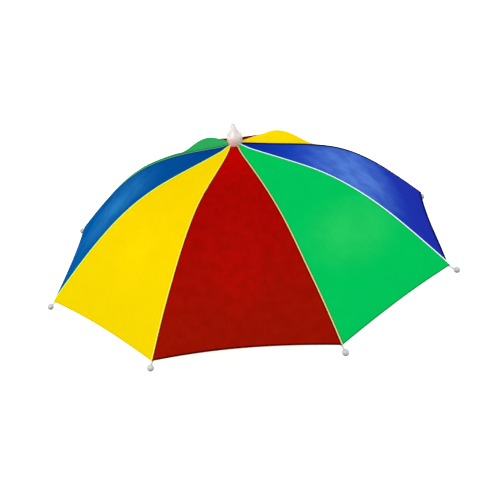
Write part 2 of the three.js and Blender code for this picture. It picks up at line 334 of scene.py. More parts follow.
def weaveGroup():
    group, place, given, end = newGroup("plainWeave", {"Thread Pitch": 0.0003, "Depth": 0.00002},
                                        ["Height", "Shade"])
    axes = put(group, "ShaderNodeSeparateXYZ", Vector=place).outputs
    waves = [calc(group, "SINE", calc(group, "MULTIPLY", calc(
        group, "DIVIDE", axis, given["Thread Pitch"]), math.pi)) for axis in axes[:2]]
    checker = calc(group, "MULTIPLY_ADD", calc(group, "MULTIPLY", *waves), 0.5, 0.5)
    setSockets(group, end, Height=calc(group, "MULTIPLY", checker, given["Depth"]),
               Shade=calc(group, "MULTIPLY", checker, clouds(group, place, 420.0, 2.0)))
    return group


def mottleGroup():
    group, place, given, end = newGroup("softMottle", {"Patch Scale": 30.0, "Streak Scale": 900.0},
                                        ["Patches", "Streaks"])
    stretched = vectorCalc(group, "MULTIPLY", place, (1.0, 0.06, 1.0))
    setSockets(group, end, Patches=clouds(group, place, given["Patch Scale"], 4.0, 0.55),
               Streaks=clouds(group, stretched, given["Streak Scale"], 2.0))
    return group


def creaseGroup():
    group, place, given, end = newGroup("foldCreases", {"Crease Scale": 45.0, "Depth": 0.0002},
                                        ["Height", "Mask"])
    bent = put(group, "ShaderNodeTexNoise", Vector=place, Scale=22.0, Detail=1.0).outputs["Color"]
    moved = vectorCalc(group, "ADD", place, vectorCalc(group, "MULTIPLY", bent, (0.03, 0.03, 0.03)))
    line = spread(group, cellEdges(group, moved, given["Crease Scale"]), 0.0, 0.12, 1.0, 0.0)
    mask = calc(group, "MULTIPLY", line, spread(group, clouds(group, place, 14.0, 2.0), 0.5, 0.7))
    setSockets(group, end, Height=calc(group, "MULTIPLY", mask, given["Depth"]), Mask=mask)
    return group


# painted highlight: a soft patch where the cloth shows a painted satin sheen
def sheenPatchGroup():
    group, place, given, end = newGroup("paintedSheenPatch", {"Centre": None, "Reach": None, "Ragged": 0.12},
                                        ["Mask"])
    offset = vectorCalc(group, "SUBTRACT", place, given["Centre"])
    distance = put(group, "ShaderNodeVectorMath", {"operation": "LENGTH"})
    connect(group, vectorCalc(group, "DIVIDE", offset, given["Reach"]), distance.inputs[0])
    wander = calc(group, "MULTIPLY", calc(group, "SUBTRACT", clouds(group, place, 60.0, 5.0), 0.5),
                  given["Ragged"])
    reached = calc(group, "ADD", distance.outputs["Value"], wander)
    setSockets(group, end, Mask=spread(group, reached, 0.1, 1.0, 1.0, 0.0))
    return group


def scuffGroup():
    group, place, given, end = newGroup("fineScuffs", {"Grain Scale": 1800.0, "Depth": 0.00001},
                                        ["Height", "Haze", "Scratches"])
    stretched = vectorCalc(group, "MULTIPLY", place, (1.0, 0.12, 0.4))
    scratches = spread(group, cellEdges(group, stretched, 900.0), 0.0, 0.03, 1.0, 0.0)
    height = calc(group, "SUBTRACT", clouds(group, place, given["Grain Scale"], 3.0),
                  calc(group, "MULTIPLY", scratches, 0.4))
    setSockets(group, end, Height=calc(group, "MULTIPLY", height, given["Depth"]),
               Haze=clouds(group, place, 160.0, 5.0), Scratches=scratches)
    return group


def twistGroup():
    group, place, given, end = newGroup("threadTwist", {"Strands": 2600.0, "Depth": 0.00004},
                                        ["Height", "Shade"])
    x, y, z = put(group, "ShaderNodeSeparateXYZ", Vector=place).outputs[:]
    turns = calc(group, "MULTIPLY", calc(group, "ADD", calc(group, "ADD", x, y), z), given["Strands"])
    wave = calc(group, "MULTIPLY_ADD", calc(group, "SINE", turns), 0.5, 0.5)
    shade = calc(group, "MULTIPLY_ADD", clouds(group, place, 2200.0, 2.0), 0.4,
                 calc(group, "MULTIPLY", wave, 0.6))
    setSockets(group, end, Height=calc(group, "MULTIPLY", shade, given["Depth"]), Shade=shade)
    return group


weave, mottle, creases = weaveGroup(), mottleGroup(), creaseGroup()
sheenPatch, scuffs, twist = sheenPatchGroup(), scuffGroup(), twistGroup()


def newMaterial(name):
    material = bpy.data.materials.new(name)
    material.use_nodes = True
    tree = material.node_tree
    tree.nodes.clear()
    shader = tree.nodes.new("ShaderNodeBsdfPrincipled")
    put(tree, "ShaderNodeOutputMaterial", Surface=shader.outputs[0])
    return material, tree, shader


def useGroup(tree, group, place, **values):
    # places a shared effect, with this material's own values
    return put(tree, "ShaderNodeGroup", {"node_tree": group}, Place=place, **values).outputs


def storedPlace(tree, name):
    return put(tree, "ShaderNodeAttribute", {"attribute_name": name}).outputs["Vector"]


def finishShader(tree, shader, height, **sockets):
    bump = put(tree, "ShaderNodeBump", Height=height, Strength=1.0, Distance=1.0)
    setSockets(tree, shader, Normal=bump.outputs[0], **sockets)


def clothMaterial(name, look):
    # clothPlace is (across, down the panel, 0) on the flat cut; clothEdge is (to the seam, to the hem, 0)
    material, tree, shader = newMaterial(name)
    place = storedPlace(tree, "clothPlace")
    down = put(tree, "ShaderNodeSeparateXYZ", Vector=place).outputs[1]
    toSeam, toHem = put(tree, "ShaderNodeSeparateXYZ", Vector=storedPlace(tree, "clothEdge")).outputs[:2]
    threads = useGroup(tree, weave, place, Thread_Pitch=look["pitch"], Depth=look["threadDepth"])
    patches, streaks = useGroup(tree, mottle, place, Patch_Scale=look["patchScale"])[:]
    folds = useGroup(tree, creases, place, Crease_Scale=look["creaseScale"], Depth=look["creaseDepth"])
    softMask = useGroup(tree, sheenPatch, place, Centre=look["sheenPlace"], Reach=look["sheenReach"])["Mask"]
    grainy = spread(tree, streaks, 0.35, 0.65, 1.0 - look["sheenGrain"], 1.0)
    hem = look["hemLine"]
    colour = look["crownColour"]
    # painted shade: the crown and low tones darken a panel where it gets less light, as the red towards its
    # hem
    for share, tone in (
            (spread(tree, down, 0.0, look["crownReach"]), "colour"),
            (spread(tree, down, look["lowFrom"], ribLength), "lowColour"),
            # painted highlight: the sheen tone laid over its patch
            (calc(tree, "MULTIPLY", softMask, grainy), "sheenColour"),
            (spread(tree, patches, 0.35, 0.65, 0.0, look["mottle"]), "deep"),
            (spread(tree, streaks, 0.45, 0.7, 0.0, look["streaks"]), "pale"),
            # painted shade: a dark tone along the hem, beside the seams and in the threads' gaps
            (spread(tree, toHem, hem * 0.6, hem * 1.6, look["hemShade"], 0.0), "paintedShadeColour"),
            (spread(tree, toSeam, 0.5 * mm, look["seamLine"], look["seamShade"], 0.0), "paintedShadeColour"),
            (calc(tree, "MULTIPLY", threads["Shade"], look["threadShade"]), "paintedShadeColour")):
        colour = blendColours(tree, share, colour, look[tone])
    rough = look["roughness"]
    finishShader(tree, shader, calc(tree, "ADD", threads["Height"], folds["Height"]), Base_Color=colour,
                 Roughness=spread(tree, patches, 0.3, 0.7, rough + 0.06, rough - 0.06),
                 Specular_IOR_Level=0.0)
    return material


def scuffedBase(name, look, aged):
    material, tree, shader = newMaterial(name)
    place = put(tree, "ShaderNodeTexCoord").outputs["Object"]
    marks = useGroup(tree, scuffs, place, Grain_Scale=look["grain"], Depth=look["grainDepth"])
    colour = blendColours(tree, spread(tree, marks["Haze"], 0.35, 0.7), look["colour"], aged)
    return material, tree, shader, place, marks, colour


def plasticMaterial(name, look):
    material, tree, shader, place, marks, colour = scuffedBase(name, look, look["aged"])
    colour = blendColours(tree, calc(tree, "MULTIPLY", marks["Scratches"], 0.25), colour, look["dust"])
    if "grime" in look:
        # the lower part gets a painted tone: painted reflection of the red cloth on the finial's foot,
        # painted shade under the ball tips
        height = put(tree, "ShaderNodeSeparateXYZ", Vector=place).outputs[2]
        paintedLightMask = spread(tree, height, look["grimeFrom"], look["grimeTo"], 1.0, 0.0)
        colour = blendColours(tree, paintedLightMask, colour, look["grime"])
    rough = spread(tree, marks["Haze"], 0.3, 0.7, look["roughness"], look["roughness"] + 0.14)
    finishShader(tree, shader, marks["Height"], Base_Color=colour, Roughness=rough,
                 Subsurface_Weight=look["glow"], Subsurface_Radius=(1.0, 0.9, 0.85),
                 Subsurface_Scale=0.002, Coat_Weight=look["coat"], Coat_Roughness=0.12)
    return material


def metalMaterial(name, look):
    material, tree, shader, place, marks, colour = scuffedBase(name, look, look["dull"])
    wear = calc(tree, "MULTIPLY_ADD", marks["Scratches"], 0.15, look["roughness"])
    finishShader(tree, shader, marks["Height"], Base_Color=colour, Metallic=1.0,
                 Roughness=calc(tree, "MULTIPLY_ADD", marks["Haze"], 0.2, wear))
    return material


def threadMaterial(name, look):
    material, tree, shader = newMaterial(name)
    place = put(tree, "ShaderNodeTexCoord").outputs["Object"]
    height, shade = useGroup(tree, twist, place, Strands=look["strands"], Depth=look["depth"])[:]
    colour = blendColours(tree, shade, look["deep"], look["colour"])
    finishShader(tree, shader, height, Base_Color=colour, Specular_IOR_Level=0.02,
                 Roughness=spread(tree, shade, 0.0, 1.0, 0.75, 0.5))
    # painted light: the thread glows, though it is no lamp
    if look.get("bright"):
        setSockets(tree, shader, Emission_Color=colour, Emission_Strength=look["bright"])
    return material


# The canopy's form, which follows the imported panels

canopy = {
    "panelCount": 8,
    "rimRadius": 250 * mm,
    "rise": 134.8 * mm,
    "crownSlope": math.radians(13.6),
    "rimSlope": math.radians(44.4),
    "crownReach": 0.41,
    "rimReach": 0.55,
    "framedWall": 1 * mm,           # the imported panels' wall
    "clothThickness": 0.24 * mm,
    "hemFold": 0.36 * mm,           # radius of the folded hem, at the middle of the cloth
    "sideFold": 0.7 * mm,           # the same beside a seam
    "seamGap": 0.12 * mm,           # seam plane to a panel's folded edge
    "hemWidth": 6.2 * mm,
    "allowance": 4.4 * mm,          # turned-in width beside a seam
    "crownHole": 3.6 * mm,
    "rows": 112, "columns": 60,     # of each panel's mesh, without its folds
    "evenShare": 0.45,              # the rest of the columns' spacing is closer beside the seams
    "crownNarrow": 50 * mm, "cornerNarrow": 12 * mm,    # where the turned-in strips narrow
}

halfPanel = math.pi / canopy["panelCount"]
rimChord = 2 * canopy["rimRadius"] * math.sin(halfPanel)
ribNumbers = range(canopy["panelCount"])
cornerHeight = (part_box("panel_red_front")[0].z
                + canopy["framedWall"] * math.cos(canopy["rimSlope"]))


def ribLineTable():
    chord = math.hypot(canopy["rimRadius"], canopy["rise"])
    pullIn, pullOut = canopy["crownReach"] * chord, canopy["rimReach"] * chord
    knots = np.array([
        [0, canopy["rise"]],
        [pullIn * math.cos(canopy["crownSlope"]),
         canopy["rise"] - pullIn * math.sin(canopy["crownSlope"])],
        [canopy["rimRadius"] - pullOut * math.cos(canopy["rimSlope"]),
         pullOut * math.sin(canopy["rimSlope"])],
        [canopy["rimRadius"], 0]])
    t = np.linspace(0, 1, 3001)[:, None]
    line = ((1 - t) ** 3 * knots[0] + 3 * (1 - t) ** 2 * t * knots[1]
            + 3 * (1 - t) * t ** 2 * knots[2] + t ** 3 * knots[3])
    slope = (3 * (1 - t) ** 2 * (knots[1] - knots[0]) + 6 * (1 - t) * t * (knots[2] - knots[1])
             + 3 * t ** 2 * (knots[3] - knots[2]))
    steps = np.linalg.norm(np.diff(line, axis=0), axis=1)
    return np.concatenate([[0], np.cumsum(steps)]), line, unit(slope)


lineLengths, linePlaces, lineSlopes = ribLineTable()
ribLength = float(lineLengths[-1])


def ribAt(along):
    # radius, height and unit slope at a length from the crown, straight on past the corner
    along = np.asarray(along, float)
    inside = np.clip(along, 0, ribLength)
    radius, height, outward, upward = (
        np.interp(inside, lineLengths, column)
        for column in (linePlaces[:, 0], linePlaces[:, 1], lineSlopes[:, 0], lineSlopes[:, 1]))
    past = along - inside
    return radius + past * outward, cornerHeight + height + past * upward, outward, upward


acrossRib = (0.0, 1.0, 0.0)         # a rib lies in the XZ plane until it is turned to its place


def ribPlane(along, depth):
    # points in the XZ plane at a depth under the cloth's outer side, and their frames
    radius, height, outward, upward = ribAt(along)
    flat = np.zeros_like(radius)
    places = np.stack([radius + upward * depth, flat, height - outward * depth], -1)
    ahead = np.stack([outward, flat, upward], -1)
    above = np.stack([-upward, flat, outward], -1)
    return places, ahead, above


def panelTurn(index):
    return index * 2 * halfPanel - math.pi / 2


def ribTurn(index):
    return panelTurn(index) + halfPanel


# Panels, counter-clockwise from the front one. Each cloth has its main colour, its tones near the crown and
# the rim (painted shade where darker), in random patches, a painted sheen highlight, and painted shade at
# its edges.

panelCloth = {
    "red": {
        # painted shade: the red darkens from its crown tone down to its low tone
        "colour": rgb(172, 6, 3), "crownColour": rgb(204, 0, 2),
        "lowColour": rgb(149, 19, 3), "deep": rgb(136, 8, 2),
        "pale": rgb(188, 16, 8), "sheenColour": rgb(176, 10, 4),
        "paintedShadeColour": rgb(40, 0, 0),
        "mottle": 0.36, "patchScale": 80.0,
    },
    "green": {
        "colour": rgb(0, 200, 92), "crownColour": rgb(0, 202, 88),
        "lowColour": rgb(1, 197, 89), "deep": rgb(2, 190, 88),
        "pale": rgb(14, 206, 100), "sheenColour": rgb(44, 206, 98),
        "paintedShadeColour": rgb(24, 116, 70),
        "sheenPlace": (0.0115, 0.193, 0), "sheenReach": (0.09, 0.055, 1), "sheenGrain": 0.5,
        "hemLine": 0.9 * mm, "hemShade": 0.8,
    },
    "blue": {
        "colour": rgb(24, 68, 188), "crownColour": rgb(2, 38, 152),
        "lowColour": rgb(33, 43, 168), "deep": rgb(22, 47, 168),
        "pale": rgb(34, 82, 198), "sheenColour": rgb(88, 134, 222),
        "paintedShadeColour": rgb(2, 4, 56),
        "roughness": 0.5, "mottle": 0.4, "seamLine": 2.6 * mm, "seamShade": 0.9,
        "hemLine": 4.6 * mm, "hemShade": 0.85,
        "sheenPlace": (-0.003, 0.156, 0), "sheenReach": (0.122, 0.092, 1), "sheenGrain": 0.08,
    },
    "yellow": {
        "colour": rgb(247, 213, 0), "crownColour": rgb(249, 217, 1),
        "lowColour": rgb(234, 207, 2), "deep": rgb(237, 204, 1),
        "pale": rgb(251, 219, 6), "sheenColour": rgb(248, 215, 1),
        "paintedShadeColour": rgb(186, 160, 10),
        "hemLine": 0.9 * mm, "hemShade": 0.5, "seamShade": 0.2,
    },
}

clothFinish = {
    "pitch": 0.32 * mm, "threadDepth": 0.012 * mm, "threadShade": 0.04,
    "patchScale": 30.0, "mottle": 0.35, "streaks": 0.25, "creaseScale": 40.0, "creaseDepth": 0.06 * mm,
    "crownReach": 0.10, "lowFrom": 0.12, "hemLine": 1.3 * mm, "hemShade": 0.85,
    "seamLine": 1.9 * mm, "seamShade": 0.5, "roughness": 0.6,
    "sheenPlace": (-0.002, 0.18, 0), "sheenReach": (0.046, 0.085, 1), "sheenGrain": 0.3,
}

# painted light: the left blue is the blue cloth again, in more teal tones set for the light on that side
leftBlue = {
    "colour": rgb(2, 76, 152), "crownColour": rgb(0, 56, 134),
    "lowColour": rgb(0, 92, 164), "deep": rgb(0, 70, 148),
    "pale": rgb(20, 106, 174), "sheenColour": rgb(36, 124, 190),
    "paintedShadeColour": rgb(0, 18, 70),
    "seamLine": 3.4 * mm, "seamShade": 0.85, "hemLine": 1.3 * mm,
    "sheenPlace": (-0.005, 0.192, 0), "sheenReach": (0.07, 0.1, 1),
}

backGreen = {
    "colour": rgb(44, 166, 90), "crownColour": rgb(52, 174, 94),
    "lowColour": rgb(30, 172, 88), "deep": rgb(40, 158, 86),
    "sheenColour": rgb(50, 174, 96), "seamLine": 2.4 * mm, "seamShade": 0.75,
}

backYellow = {
    "colour": rgb(254, 224, 0), "crownColour": rgb(253, 222, 0),
    "lowColour": rgb(248, 216, 0),
}

# painted shade: the back red is darker than the front red, and much darker near the crown
backRed = {
    "colour": rgb(142, 7, 3), "crownColour": rgb(56, 4, 0),
    "deep": rgb(124, 6, 3), "sheenColour": rgb(148, 11, 4),
}

# sag is how deep a panel sinks between its ribs, and scallop how far its hem is drawn up, in mm. The two
# at the back billow near the crown: rows of (share of the way down, mm outward).

panels = [
    {"node": "panel_red_front", "seed": 3, "wrinkle": 1.0, "sag": 2.7, "scallop": 5.7},
    {"node": "panel_green_front_right", "seed": 11, "wrinkle": 1.25, "sag": 2.7, "scallop": 1.9},
    {"node": "panel_blue_right", "seed": 17, "wrinkle": 1.0, "sag": 2.4, "scallop": 7.0, "cornerCut": 4.5},
    {"node": "panel_yellow_back_right", "seed": 23, "wrinkle": 0.9, "sag": 0, "scallop": 5.5,
     "finish": backYellow,
     "billow": [(0, 0), (0.1, 1.2), (0.2, 3.0), (0.285, 9.4), (0.33, 8), (0.375, 2), (0.46, -5),
                (0.6, -0.5), (0.8, 0), (1, 0)]},
    {"node": "panel_red_back", "seed": 31, "wrinkle": 1.1, "sag": 2.0, "scallop": 5.5, "finish": backRed},
    {"node": "panel_green_back_left", "seed": 41, "wrinkle": 1.0, "sag": 0, "scallop": 5.5,
     "finish": backGreen, "roll": 2.3,
     "billow": [(0, 0), (0.03, 0.6), (0.06, 3), (0.1, 5.2), (0.19, 9.1), (0.24, 8.2), (0.29, 2.8),
                (0.33, 0.4), (0.4, -2), (0.5, -0.3), (0.8, 0), (1, 0)]},
    {"node": "panel_blue_left", "seed": 47, "wrinkle": 1.0, "sag": 2.2, "scallop": 8.5, "finish": leftBlue},
    {"node": "panel_yellow_front_left", "seed": 59, "wrinkle": 0.8, "sag": 2.7, "scallop": 3.3},
]
for panel in panels:
    words = panel["node"].split("_")[1:]
    panel["cloth"], panel["name"] = words[0], "cloth" + "".join(word.capitalize() for word in words)

wrinkles = {
    "swell": 0.55 * mm, "swellSize": 0.085,         # slow waves over the whole panel
    "drag": 0.30 * mm, "dragSize": 0.020, "dragSlant": 0.7,               # slanting pulls from the corners
    "pucker": 0.16 * mm, "puckerStep": 6.5 * mm, "puckerReach": 7 * mm,   # beside the seams
    "puckerEase": 1.5 * mm, "puckerDrift": 30 * mm,
}

sagPeak = 0.4725                                    # the most that u (1 - u^3) reaches
# where a panel's roll lies: shares of the way down, and across
rollForm = {"from": 0.2, "to": 0.86, "easeIn": 0.1, "easeOut": 0.12, "across": 0.94, "width": 0.05}


def softNoise(x, y, seed):
    return noise.noise(Vector((x, y, seed * 7.31)))


def wrinkleDepth(panel, along, across):
    out = np.zeros(along.size)
    seed, drag = panel["seed"], wrinkles["dragSize"]
    for i, (s, v) in enumerate(zip(along.ravel(), across.ravel())):
        share = min(max(s / ribLength, 0.0), 1.0)
        wide = float(np.interp(s, lineLengths, linePlaces[:, 0])) * math.sin(halfPanel)
        y = v * wide
        softMask = (1 - v * v) * math.sin(math.pi * share ** 0.8)
        swell = softNoise(s / wrinkles["swellSize"], y / wrinkles["swellSize"], seed)
        slant = wrinkles["dragSlant"] * (1 if v < 0 else -1)
        pull = softNoise((s + slant * y) / drag, (y - slant * s) / (6 * drag), seed + (1 if v < 0 else 2))
        toSeam = wide - abs(y)
        phase = 3 * softNoise(s / wrinkles["puckerDrift"], 5.0 * np.sign(v), seed + 3)
        pucker = (math.sin(2 * math.pi * s / wrinkles["puckerStep"] + phase)
                  * math.exp(-toSeam / wrinkles["puckerReach"])
                  * min(1.0, toSeam / wrinkles["puckerEase"]) * min(1.0, share * 4))
        out[i] = (wrinkles["swell"] * swell * softMask + wrinkles["drag"] * pull * softMask * abs(v) ** 0.5
                  + wrinkles["pucker"] * pucker) * panel["wrinkle"]
    return out.reshape(along.shape)


def hemAlong(panel, across):
    corner = panel.get("cornerCut", 0) * np.clip(-across, 0, 1) ** 4
    return ribLength - (panel["scallop"] * (1 - across ** 2) + corner) * mm


def sagAt(panel, along, across):
    share = np.clip(along / ribLength, 0, 1)
    bowl = 1 - across ** 2
    depth = panel["sag"] * bowl * share * (1 - share ** 3) / sagPeak
    if "billow" in panel:
        line = smoothLine(panel["billow"], 12)
        depth = depth - bowl * np.interp(share, line[:, 0], line[:, 1])
    if "roll" in panel:
        # a soft roll of cloth that stands up just beside the seam
        reach = (np.clip((share - rollForm["from"]) / rollForm["easeIn"], 0, 1)
                 * np.clip((rollForm["to"] - share) / rollForm["easeOut"], 0, 1))
        beside = np.exp(-((across - rollForm["across"]) / rollForm["width"]) ** 2)
        depth = depth - panel["roll"] * reach * beside * bowl / 0.116   # the bowl there
    return depth * mm


def panelPlace(along, across, depth, sideStep=0.0):
    # sideStep is added outward from the folded edge, beyond across = -1 or 1
    radius, height, outward, upward = ribAt(along)
    x = radius * math.cos(halfPanel) + upward * depth
    inset = (canopy["seamGap"] + canopy["sideFold"]) / math.cos(halfPanel)
    edge = x * math.tan(halfPanel) - inset
    y = across * edge + np.sign(across) * sideStep
    return np.stack([x, y, height - outward * depth], -1)


def foldSteps(radius, width):
    # lengths round and past a folded edge, measured from where the fold starts
    bend = math.pi * radius
    return np.concatenate([np.linspace(0, bend, 7)[1:], bend + np.linspace(0, width, 4)[1:]])


def foldOffset(steps, radius):
    angle = np.clip(steps / radius, 0, math.pi)
    ahead = radius * np.sin(angle) - np.clip(steps - math.pi * radius, 0, None)
    return ahead, radius * (1 - np.cos(angle))


def panelGrid(panel):
    rows, columns, evenShare = canopy["rows"], canopy["columns"], canopy["evenShare"]
    folds = foldSteps(canopy["sideFold"], canopy["allowance"])
    even = np.linspace(-1, 1, columns + 1)
    spaced = evenShare * even + (1 - evenShare) * np.sin(math.pi / 2 * even)
    sideways = np.concatenate([-1 - folds[::-1], spaced, 1 + folds])
    sideFold = np.clip(np.abs(sideways) - 1, 0, None)
    across = np.clip(sideways, -1, 1)
    down = np.linspace(0, 1, rows + 1)
    hemFold = foldSteps(canopy["hemFold"], canopy["hemWidth"])
    share = np.concatenate([down, np.ones(len(hemFold))])[:, None]
    hemStep = np.concatenate([np.zeros(rows + 1), hemFold])[:, None]
    across = np.repeat(across[None], len(share), axis=0)
    first = canopy["crownHole"]
    end = hemAlong(panel, across) - canopy["hemFold"]
    ahead, hemDepth = foldOffset(hemStep, canopy["hemFold"])
    along = first + (end - first) * share + ahead
    side, sideDepth = foldOffset(sideFold[None], canopy["sideFold"])
    # the turned-in strips narrow towards the crown and the corners, where they are pressed flat too
    beforeCorner = (ribLength - along) / canopy["cornerNarrow"]
    room = np.clip(along / canopy["crownNarrow"], 0.12, 1) * np.clip(beforeCorner, 0.25, 1)
    side = np.where(side < 0, side * room, side)
    sideDepth = sideDepth * np.clip(beforeCorner, 0.5, 1)
    depth = (canopy["clothThickness"] / 2 + sagAt(panel, along, across) + np.hypot(hemDepth, sideDepth)
             + wrinkleDepth(panel, along, across))
    centre = panelPlace(along, across, depth, side)
    wide = ribAt(along)[0] * math.sin(halfPanel)
    fold = np.repeat(sideFold[None], len(share), axis=0)
    flatAcross = across * wide + np.sign(across) * fold
    toSeam = wide - np.abs(across) * wide + fold * 0
    toHem = end - along + np.repeat(hemStep, across.shape[1], axis=1)
    zero = np.zeros_like(along)
    return centre, np.stack([flatAcross, along, zero], -1), np.stack([toSeam, np.abs(toHem), zero], -1)


clothMaterials = {}


def clothFor(panel):
    key = panel["name"] if "finish" in panel else panel["cloth"]
    if key not in clothMaterials:
        look = {**clothFinish, **panelCloth[panel["cloth"]], **panel.get("finish", {})}
        clothMaterials[key] = clothMaterial("cloth_" + key, look)
    return clothMaterials[key]


def makePanel(index, panel):
    centre, place, edge = panelGrid(panel)
    shape = turned(shellFromGrid(centre, canopy["clothThickness"]), panelTurn(index))
    return makePiece(panel["name"], shape, clothFor(panel), "cloth_" + panel["cloth"], panel["node"],
                     cloth=True, clothPlace=[place, place], clothEdge=[edge, edge])


panelPieces = [makePanel(i, panel) for i, panel in enumerate(panels)]


# Seams between the panels: a thin raised cord of thread in a tone of its own on each rib

seams = {
    "height": 0.46 * mm, "depth": 0.04 * mm, "start": 4.6 * mm, "overrun": 0.4 * mm, "taper": 1.2 * mm,
    "bead": 1.9 * mm, "beadDepth": 0.10, "step": 0.55 * mm, "strands": 3300.0, "twistDepth": 0.05 * mm,
    "tones": [                      # rib 1, at the front right, and on counter-clockwise
        (240, 226, 150), (222, 255, 255), (6, 8, 76), (238, 214, 110),
        (190, 160, 120), (108, 188, 150), (220, 255, 60), (255, 242, 76)],
    "halfWidth": [0.62, 0.8, 1.4, 0.8, 0.8, 0.7, 1.0, 0.76],       # mm
    "sink": [0, 0, -0.3, 0.2, 0.2, 0.1, -0.15, 0],  # mm, further into the seam's groove
    "bright": [0, 0.26, 0, 0, 0, 0, 0.2, 0.06],     # painted light: how strongly each cord glows, though it is no lamp
    "short": [0, 4.6, 0, 0, 0, 0, 0, 0],            # mm, where the thread ends before the corner
}


def makeSeam(index):
    end = ribLength + seams["overrun"] - seams["short"][index] * mm
    along = np.arange(seams["start"], end, seams["step"])
    places, ahead, above = ribPlane(along, seams["depth"] + seams["sink"][index] * mm)
    beads = 1 + seams["beadDepth"] * np.cos(2 * math.pi * along / seams["bead"])
    taper = np.clip((end - along) / seams["taper"], 0.25, 1)
    size = np.array([seams["halfWidth"][index] * mm, seams["height"]])
    shape = sweep(places, acrossRib, above, ring(1.0, 10) * size * (beads * taper)[:, None, None])
    tone = seams["tones"][index]
    look = {"colour": rgb(*tone), "deep": rgb(*[0.92 * v for v in tone]), "strands": seams["strands"],
            "depth": seams["twistDepth"], "bright": seams["bright"][index]}
    makePiece("seamCord%d" % (index + 1), turned(shape, ribTurn(index)),
              threadMaterial("seamThread%d" % (index + 1), look), "elastic", cloth=True)


for i in ribNumbers:
    makeSeam(i)
print("seams done")


# Hem stitches on both sides of the cloth

hemStitch = {
    "step": 2.7 * mm, "length": 2.1 * mm, "radius": 0.11 * mm, "fromEdge": 5.2 * mm, "reach": 0.97,
    "strands": 5200.0, "twistDepth": 0.02 * mm,
}


def surfaceFrame(panel, along, across, depth):
    def spot(along, across):
        return panelPlace(along, across, depth + sagAt(panel, along, across)
                          + wrinkleDepth(panel, along, across))
    here = spot(along, across)
    down, aside = spot(along + 0.2 * mm, across) - here, spot(along, across + 0.002) - here
    return here, unit(aside), unit(np.cross(down, aside))


def makeHemStitches(index, panel):
    count = int(rimChord / hemStitch["step"])
    across = ((np.arange(count) + 0.5) / count * 2 - 1) * hemStitch["reach"]
    along = hemAlong(panel, across) - hemStitch["fromEdge"]
    parts = []
    for depth, sign in ((0.0, 1), (2 * canopy["hemFold"] + canopy["clothThickness"], -1)):
        places, directions, normals = surfaceFrame(panel, along, across, depth)
        parts.append(threadStitches(places, directions, sign * normals, hemStitch["length"],
                                    hemStitch["radius"]))
    look = panelCloth[panel["cloth"]]
    thread = threadMaterial("hemThread%d" % (index + 1), {
        "colour": look["pale"], "deep": look["deep"], "strands": hemStitch["strands"],
        "depth": hemStitch["twistDepth"]})
    makePiece("hemStitches%d" % (index + 1), turned(joinParts(parts), panelTurn(index)), thread,
              "cloth_" + panel["cloth"])


for i, panel in enumerate(panels):
    makeHemStitches(i, panel)
print("hem stitches done")


# White plastic: finial, hub and ball tips

finial = {
    "height": 24 * mm, "foot": 7.5 * mm, "footGap": 0.15 * mm, "stem": 2.5 * mm,
    "profile": [                    # (height above the crown, radius) in mm
        (-0.8, 7.6), (1.5, 8.3), (5.0, 9.1), (7.6, 9.5), (9.4, 9.5), (10.8, 9.1), (12.4, 8.1),
        (14.6, 6.4), (17.0, 4.9), (19.4, 3.95), (21.4, 3.45), (22.8, 3.0), (23.6, 2.3), (24.0, 1.0)],
    "grimeTop": 13 * mm,            # above the crown
}
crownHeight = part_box("finial")[1].z - finial["height"]

whiteLook = {
    "colour": rgb(232, 229, 228), "aged": rgb(222, 212, 210), "dust": rgb(176, 170, 160),
    "roughness": 0.26, "grain": 1500.0, "grainDepth": 0.004 * mm, "glow": 0.25, "coat": 0.3}
whitePlastic = plasticMaterial("whitePlastic", whiteLook)
# painted reflection: the finial's foot takes a pink tone from the red cloth
finialPlastic = plasticMaterial("finialPlastic", {
    **whiteLook, "grime": rgb(216, 178, 186), "grimeFrom": crownHeight,
    "grimeTo": crownHeight + finial["grimeTop"]})
# painted shade: the ball tips are greyer than the white plastic and dark towards their bottom
tipPlastic = plasticMaterial("tipPlastic", {
    **whiteLook, "colour": rgb(216, 219, 221), "aged": rgb(202, 203, 203), "dust": rgb(140, 137, 132),
    "roughness": 0.24, "glow": 0.0, "coat": 0.2,
    "grime": rgb(78, 76, 76), "grimeFrom": 2.2 * mm, "grimeTo": 6.9 * mm})


def makeFinial():
    low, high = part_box("finial")
    foot, stem = finial["foot"], finial["stem"]
    base, stemTop = (crownHeight - radius * math.tan(canopy["crownSlope"]) + finial["footGap"]
                     for radius in (foot, stem))
    profile = [(0, low.z), (stem - 0.3 * mm, low.z), (stem, low.z + 0.3 * mm), (stem, stemTop - 0.4 * mm),
               (stem + 0.4 * mm, stemTop), (foot - 0.5 * mm, base + 0.02 * mm),
               (foot - 0.1 * mm, base + 0.1 * mm), (foot, base + 0.4 * mm)]
    profile += smoothLine([(radius * mm, crownHeight + height * mm)
                           for height, radius in finial["profile"]], 4).tolist()
    makePiece("finialCap", lathe(profile + [(0, high.z)], 64), finialPlastic, "white_plastic", "finial")


makeFinial()


ballTip = {
    # the stem's line, in mm past the corner and under the cloth, which ends in the ball's middle
    "stemLine": [(-2.9, 3.17), (-1.2, 2.92), (1.2, 2.27), (4.4, 1.75), (7.5, 0.75)],
    "ballRadius": 3.75 * mm, "stemRadius": 1.15 * mm, "stemFlare": 0.28,
    "shankRadius": 0.6 * mm, "shankDepth": 3.17 * mm, "shankFrom": -10.7 * mm, "shankTo": -2.4 * mm,
    "lean": [0.6, 2.4, -3.8, 0, 0, 0, 0.2, -0.8],   # mm, how far each ball stands out or in
}


